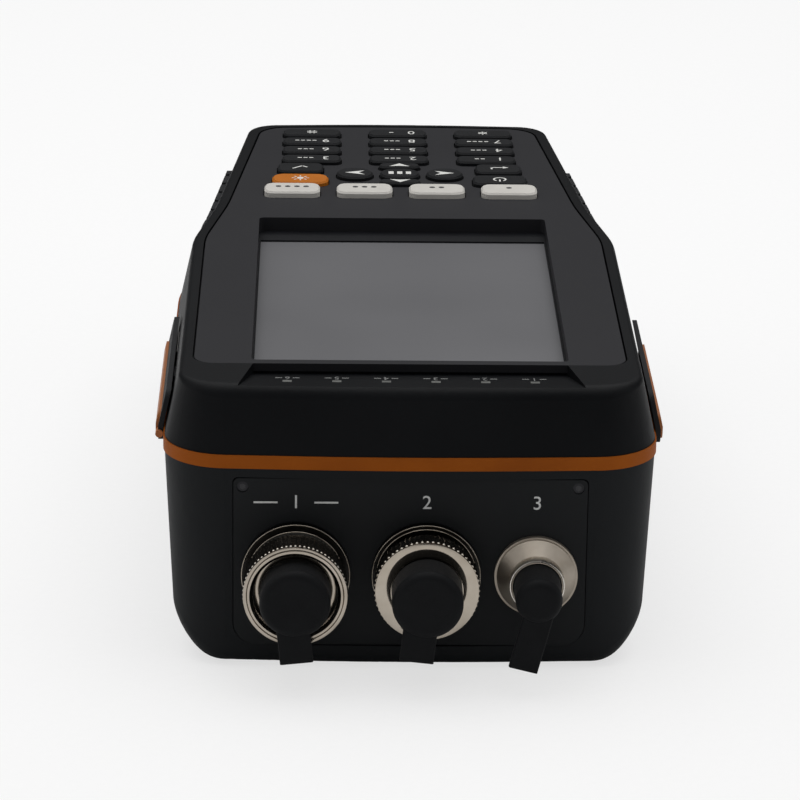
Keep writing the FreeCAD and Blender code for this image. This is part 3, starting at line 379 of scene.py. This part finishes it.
# each arrow: length, width, notch and turn
arrowSizes = {"up": (2.6, 5.2, 0.4, 0), "down": (2.6, 5.2, 0.4, 180),
              "left": (5.0, 3.8, 1.5, 90), "right": (5.0, 3.8, 1.5, -90)}
digitExtras = {"1": 2, "2": 3, "3": 3, "4": 3, "5": 3, "6": 3, "7": 4, "8": 3, "9": 4, "0": 1}
softKeyCount = len(softKeyNames)
thick = keyLegends["thickness"]


def centred(index, count, pitch):
    return (index - (count - 1) / 2) * pitch


def numberLegend(digit):
    parts = [textShape(digit, keyLegends["digitSize"], thick)]
    parts[0].location = (mm(-keyLegends["digitAside"]), 0, 0)
    count = digitExtras[digit]
    for index in range(count):
        across = keyLegends["dashAside"] + centred(index, count, keyLegends["dashPitch"])
        parts.append(barShape(keyLegends["dashWidth"], keyLegends["dashLength"], thick, across))
    return joinPieces(parts)


def starLegend():
    return joinPieces([barShape(keyLegends["starLine"], keyLegends["signSize"], thick, turn=angle)
                       for angle in (0, 60, 120)])


def hashLegend():
    line, size, half = keyLegends["hashLine"], keyLegends["signSize"], keyLegends["hashHalf"]
    return joinPieces([barShape(line, size, thick, x=-half), barShape(line, size, thick, x=half),
                       barShape(size, line, thick, y=-half), barShape(size, line, thick, y=half)])


def dotsLegend(count):
    places = [centred(index, count, keyLegends["dotPitch"]) for index in range(count)]
    return joinPieces([discShape(keyLegends["dotRadius"], thick, x, keyLegends["dotsUp"]) for x in places])


def powerLegend():
    arc = arcShape(keyLegends["powerRadius"], keyLegends["powerLine"], thick, keyLegends["powerGap"])
    return joinPieces([arc, barShape(keyLegends["powerLine"], keyLegends["powerBar"], thick,
                                     y=keyLegends["powerBarUp"])])


def sunLegend():
    reach = keyLegends["rayReach"]
    rays = [barShape(keyLegends["rayWidth"], keyLegends["rayLength"], thick,
                     x=reach * math.sin(math.radians(angle)), y=reach * math.cos(math.radians(angle)),
                     turn=-angle) for angle in range(0, 360, 45)]
    return joinPieces([discShape(keyLegends["sunRadius"], thick)] + rays)


def strokes(rows):
    return [barShape(width, length, thick, x, y, turn) for width, length, x, y, turn in rows]


def checkLegend():
    return joinPieces(strokes(checkStrokes))


def returnLegend():
    return joinPieces(strokes(returnStrokes) + [discShape(thickness=thick, **returnHead)])


def barsLegend():
    return joinPieces([barShape(keyLegends["menuWidth"], keyLegends["menuLength"], thick,
                                x=side * keyLegends["menuPitch"]) for side in (-1, 0, 1)])


def arrowLegend(length, width, notch, turn):
    # a flat triangle whose back edge is drawn in to a notch
    arrow = discShape(1.0, thick, sides=4)
    places = {"tip": (0, length / 2), "left": (-width / 2, -length / 2), "back": (0, notch - length / 2),
              "right": (width / 2, -length / 2)}
    for vertex in arrow.data.vertices:
        across, along = vertex.co.x * 1000, vertex.co.y * 1000
        corner = "tip" if along > 0.5 else "back" if along < -0.5 else "left" if across < 0 else "right"
        vertex.co.x, vertex.co.y = mm(places[corner][0]), mm(places[corner][1])
    arrow.rotation_euler = (0, 0, math.radians(turn))
    return joinPieces([arrow])


legendMakers = {"key_star": starLegend, "key_hash": hashLegend, "key_off": powerLegend,
                "key_light": sunLegend, "key_ok": checkLegend, "key_esc": returnLegend,
                "key_menu": barsLegend}
for way, values in arrowSizes.items():
    legendMakers["key_" + way] = lambda sizes=values: arrowLegend(*sizes)
for number in range(1, softKeyCount + 1):
    legendMakers["key_f%d" % number] = lambda count=number: dotsLegend(count)
for digit in digitExtras:
    legendMakers["key_" + digit] = lambda mark=digit: numberLegend(mark)

for keyName, maker in legendMakers.items():
    legend = maker()
    x, y, top = nodeTop(keyName)
    layOnTop(legend, x, y, top, thick - 2 * keyLegends["sink"])
    ink = blackInk if keyName in softKeyNames else whiteInk
    finishPiece(legend, keyName + "_legend", keyName, ink)
print("key legends made:", len(legendMakers))

portMarks = {"size": 4.4, "height": 38.8, "thickness": 0.06, "sink": 0.01, "ruleWidth": 5.2,
             "ruleThick": 0.4, "ruleAside": 6.6}
panelLow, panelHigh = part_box("port_panel")
for number, flangeName in enumerate(("otdr_flange", "opm_flange", "vfl_flange"), 1):
    low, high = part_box(flangeName)
    parts = [textShape(str(number), portMarks["size"], portMarks["thickness"])]
    if number == 1:
        for side in (-1, 1):
            parts.append(barShape(portMarks["ruleWidth"], portMarks["ruleThick"], portMarks["thickness"],
                                  x=side * portMarks["ruleAside"]))
    mark = joinPieces(parts)
    mark.rotation_euler = (math.radians(90), 0, 0)
    mark.location = ((low.x + high.x) / 2,
                     panelLow.y - mm(portMarks["thickness"]) / 2 + mm(portMarks["sink"]),
                     mm(portMarks["height"]))
    finishPiece(mark, "port_number_%d" % number, "case", greyInk)
screwSockets = {"radius": 0.72, "thickness": 0.05, "inset": 2.0, "sunk": 0.35}
sockets = []
for side in (-1, 1):
    socket = discShape(screwSockets["radius"], screwSockets["thickness"], sides=6)
    socket.rotation_euler = (math.radians(90), 0, 0)
    socket.location = (side * (panelHigh.x - mm(screwSockets["inset"])),
                       panelLow.y + mm(screwSockets["sunk"]) - mm(screwSockets["thickness"]) / 2,
                       panelHigh.z - mm(screwSockets["inset"]))
    sockets.append(socket)
finishPiece(joinPieces(sockets), "panel_screw_sockets", "case", blackInk)
print("port numbers and screw sockets made")

lampMarks = {"count": 6, "size": 2.5, "thickness": 0.05, "behind": 4.3, "pitch": 10.8, "stretch": 1.9,
             "lift": 0.03, "barWidth": 1.5, "barLength": 0.4, "barAside": 1.9}
# the sunk strip falls towards the display, from a line just behind the case's front edge
stripSlope = {"fall": 2.6, "run": 16.8, "fromFront": 3.1}
slope = math.atan(stripSlope["fall"] / stripSlope["run"])
lampLow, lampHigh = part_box("led_windows")
caseLow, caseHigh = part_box("upper_case")
along = (lampLow.y + lampHigh.y) / 2 + mm(lampMarks["behind"])
drop = (along - (caseLow.y + mm(stripSlope["fromFront"]))) * math.tan(slope)
for number in range(lampMarks["count"]):
    parts = [textShape(str(lampMarks["count"] - number), lampMarks["size"], lampMarks["thickness"])]
    for side in (1, -1):
        parts.append(barShape(lampMarks["barWidth"], lampMarks["barLength"], lampMarks["thickness"],
                              x=side * lampMarks["barAside"]))
    mark = joinPieces(parts)
    mark.scale = (1, lampMarks["stretch"], 1)
    mark.rotation_euler = (slope, 0, math.pi)
    mark.location = (mm(centred(number, lampMarks["count"], lampMarks["pitch"])), along,
                     caseHigh.z - drop + mm(lampMarks["lift"]))
    finishPiece(mark, "lamp_number_%d" % (number + 1), "case", dimInk)
print("lamp numbers made")

roundTrim = {"sides": 96, "wireSides": 10, "edgeRound": 0.12, "edgeSteps": 2, "smoothAngle": 40,
             "studSides": 8, "studRings": 5}


def thinRing(radius, wire, x, y, z):
    # a fine bright nickel wire that lies flat against a port's flange, as a painted highlight along its
    # chamfered edge
    deselectAll()
    bpy.ops.mesh.primitive_torus_add(major_segments=roundTrim["sides"], minor_segments=roundTrim["wireSides"],
                                     major_radius=mm(radius), minor_radius=mm(wire), location=(x, y, z),
                                     rotation=(math.radians(90), 0, 0))
    ring = bpy.context.object
    bpy.ops.object.shade_smooth()
    return ring


def openTube(radius, wall, length, x, y, z):
    deselectAll()
    bpy.ops.mesh.primitive_cylinder_add(vertices=roundTrim["sides"], radius=mm(radius), depth=mm(length),
                                        end_fill_type="NOTHING", location=(x, y, z),
                                        rotation=(math.radians(90), 0, 0))
    tube = bpy.context.object
    bpy.ops.object.modifier_add(type="SOLIDIFY")
    tube.modifiers["Solidify"].thickness = mm(wall)
    tube.modifiers["Solidify"].offset = -1
    bpy.ops.object.modifier_apply(modifier="Solidify")
    bpy.ops.object.modifier_add(type="BEVEL")
    tube.modifiers["Bevel"].width = mm(roundTrim["edgeRound"])
    tube.modifiers["Bevel"].segments = roundTrim["edgeSteps"]
    bpy.ops.object.modifier_apply(modifier="Bevel")
    bpy.ops.object.shade_smooth_by_angle(angle=math.radians(roundTrim["smoothAngle"]))
    return tube


def toothEnds(radius, reach, size, count, x, z):
    # the bevelled ends of the knurls, as one row of small studs around a port's axis; their lighter plate is
    # painted glint
    studs = []
    for index in range(count):
        angle = 2 * math.pi * index / count
        deselectAll()
        place = (x + mm(radius) * math.cos(angle), panelLow.y - mm(reach), z + mm(radius) * math.sin(angle))
        bpy.ops.mesh.primitive_uv_sphere_add(segments=roundTrim["studSides"],
                                             ring_count=roundTrim["studRings"],
                                             radius=mm(size), location=place)
        studs.append(bpy.context.object)
    row = joinPieces(studs)
    bpy.ops.object.shade_smooth()
    return row


edgeWires = {"rimIn": 0.22, "wire": 0.13, "rimReach": 1.56}
# radii and walls, and how far each form stands in front of the panel
ringTrim = {
    "otdr": {"ring": "otdr_ring", "step": 1.55, "stepReach": 2.2, "lipRadius": 11.3, "lipWall": 0.75,
             "lipFrom": 12.9, "lipTo": 13.88, "studRadius": 11.1, "studReach": 12.8, "studSize": 0.34,
             "studs": 72},
    "opm": {"ring": "opm_adapter", "step": 1.1, "stepReach": 1.56, "lipRadius": 11.25, "lipWall": 3.4,
            "lipFrom": 9.95, "lipTo": 10.64, "studRadius": 11.1, "studReach": 9.85, "studSize": 0.33,
            "studs": 60}}
barrelTrim = {
    "otdr_inner_collar": {"flange": "otdr_flange", "radius": 8.9, "wall": 1.3, "from": 7.0, "to": 10.9,
                          "finish": nickelPlate},
    # the VFL barrel's lighter plate is painted glint
    "vfl_barrel_painted_glint": {"flange": "vfl_flange", "radius": 6.0, "wall": 0.4, "from": 3.7, "to": 7.35,
                          "finish": paintedGlintNickelPlate}}


def tubeOnPort(radius, wall, near, far, x, z):
    length = far - near
    return openTube(radius, wall, length, x, panelLow.y - mm(near + length / 2), z)


for portName, values in ringTrim.items():
    low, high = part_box(portName + "_flange")
    x, z = (low.x + high.x) / 2, (low.z + high.z) / 2
    radius = (high.x - low.x) / 2 * 1000
    # painted highlights: bright wires along the flange's outer edge and its inner step
    outerRing = thinRing(radius - edgeWires["rimIn"], edgeWires["wire"], x,
                         panelLow.y - mm(edgeWires["rimReach"]), z)
    innerRing = thinRing(radius - values["step"], edgeWires["wire"], x,
                         panelLow.y - mm(values["stepReach"]), z)
    finishPiece(joinPieces([outerRing, innerRing]), portName + "_painted_edge_highlights", "case", nickelPlate)
    lip = tubeOnPort(values["lipRadius"], values["lipWall"], values["lipFrom"], values["lipTo"], x, z)
    finishPiece(lip, values["ring"] + "_lip", values["ring"], nodeFinishes[values["ring"]])
    studs = toothEnds(values["studRadius"], values["studReach"], values["studSize"], values["studs"], x, z)
    finishPiece(studs, values["ring"] + "_tooth_ends", values["ring"], paintedGlintNickelPlate)
for pieceName, values in barrelTrim.items():
    low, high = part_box(values["flange"])
    tube = tubeOnPort(values["radius"], values["wall"], values["from"], values["to"], (low.x + high.x) / 2,
                      (low.z + high.z) / 2)
    finishPiece(tube, pieceName, "case", values["finish"])
print("port trim made")

contactThickness = 0.06
contactSizes = {
    "host_socket": {"count": 4, "pitch": 2.4, "width": 1.1, "length": 5.0, "depth": 3.3, "rise": 0.87,
                    "outward": -1},
    "device_socket": {"count": 5, "pitch": 0.8, "width": 0.4, "length": 4.4, "depth": 3.0, "rise": 0.42,
                      "outward": 1}}
for nodeName, values in contactSizes.items():
    low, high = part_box(nodeName)
    mouth = high.x if values["outward"] > 0 else low.x
    comb = joinPieces([barShape(values["length"], values["width"], contactThickness,
                                y=centred(index, values["count"], values["pitch"]))
                       for index in range(values["count"])])
    comb.location = (mouth - values["outward"] * mm(values["depth"]), (low.y + high.y) / 2,
                     (low.z + high.z) / 2 + mm(values["rise"]))
    finishPiece(comb, nodeName + "_contacts", "case", contactGold)
print("socket contacts made")

paperSweep = {"size": 8, "behind": 1.5, "fibre": 2, "glow": 1.02, "glowShare": 0.66}
deselectAll()
bpy.ops.mesh.primitive_plane_add(size=paperSweep["size"], location=(0, paperSweep["behind"], 0))
floor = bpy.context.object
floor.name = "studioFloor"
floorMaterial, tree, place = newMaterial("whitePaperSweep")
fibres = noise(tree, place, paperSweep["fibre"], 3.0)
paper = ramp(tree, fibres, [(0.3, sRgb("f4f4f4")), (0.7, sRgb("f7f7f7"))])
paperShader = addNode(tree, "ShaderNodeBsdfPrincipled", {"Roughness": 0.7, "Specular IOR Level": 0.2},
                      {"Base Color": paper})
rays = addNode(tree, "ShaderNodeLightPath")
glow = addNode(tree, "ShaderNodeEmission", {"Color": grey(1), "Strength": paperSweep["glow"]})
share = addNode(tree, "ShaderNodeMath", {"operation": "MULTIPLY", 1: paperSweep["glowShare"]},
                {0: rays.outputs["Is Camera Ray"]})
blend = addNode(tree, "ShaderNodeMixShader", None,
                {0: share.outputs[0], 1: paperShader.outputs["BSDF"], 2: glow.outputs["Emission"]})
closeMaterial(tree, blend.outputs["Shader"])
floor.data.materials.append(floorMaterial)

world = bpy.data.worlds.new("studioRoom")
bpy.context.scene.world = world
world.use_nodes = True
roomTree = world.node_tree
roomTree.nodes.clear()
rays = addNode(roomTree, "ShaderNodeLightPath")
skyward = addNode(roomTree, "ShaderNodeSeparateXYZ", None,
                  {0: addNode(roomTree, "ShaderNodeTexCoord").outputs["Generated"]}).outputs["Z"]
dome = ramp(roomTree, skyward, [(0.0, grey(0.03)), (0.3, grey(0.08)), (0.75, grey(0.42))])
roomLight = addNode(roomTree, "ShaderNodeBackground", {"Strength": 1.0}, {"Color": dome})
roomWhite = addNode(roomTree, "ShaderNodeBackground", {"Color": grey(1), "Strength": 1.0})
room = addNode(roomTree, "ShaderNodeMixShader", None,
               {0: rays.outputs["Is Camera Ray"], 1: roomLight.outputs["Background"],
                2: roomWhite.outputs["Background"]})
addNode(roomTree, "ShaderNodeOutputWorld", None, {"Surface": room.outputs["Shader"]})

studioLights = {
    "overheadBox": {"place": (0.0, 0.25, 0.95), "aim": (0, 0.0, 0.03), "size": 1.3, "power": 8.0},
    "frontCard": {"place": (-0.35, -1.1, 0.3), "aim": (0, -0.08, 0.03), "size": 0.7, "power": 0.5},
    "rightCard": {"place": (1.0, -0.3, 0.45), "aim": (0, 0.0, 0.03), "size": 0.8, "power": 1.2},
    "leftCard": {"place": (-1.0, -0.1, 0.45), "aim": (0, 0.0, 0.03), "size": 0.8, "power": 1.6}}
for lightName, values in studioLights.items():
    deselectAll()
    bpy.ops.object.light_add(type="AREA", location=values["place"])
    lamp = bpy.context.object
    lamp.name = lightName
    lamp.data.shape = "SQUARE"
    lamp.data.size = values["size"]
    lamp.data.energy = values["power"]
    direction = Vector(values["aim"]) - Vector(values["place"])
    lamp.rotation_euler = direction.to_track_quat("-Z", "Y").to_euler()

cameraSetup = {"place": (-19.58, -946.32, 351.19), "down": 18.863, "aside": 1.1517, "roll": 0.75,
               "lens": 186.53, "sensor": 36, "clipEnd": 20}
deselectAll()
bpy.ops.object.camera_add()
camera = bpy.context.object
camera.name = "studioCamera"
camera.data.sensor_width = cameraSetup["sensor"]
camera.data.lens = cameraSetup["lens"]
camera.data.clip_end = cameraSetup["clipEnd"]
turn = (Matrix.Rotation(math.radians(-cameraSetup["aside"]), 4, "Z")
        @ Matrix.Rotation(math.radians(90 - cameraSetup["down"]), 4, "X")
        @ Matrix.Rotation(math.radians(cameraSetup["roll"]), 4, "Z"))
camera.matrix_world = Matrix.Translation([mm(value) for value in cameraSetup["place"]]) @ turn
bpy.context.scene.camera = camera
bpy.context.scene.view_settings.view_transform = "Standard"
print("studio set up")
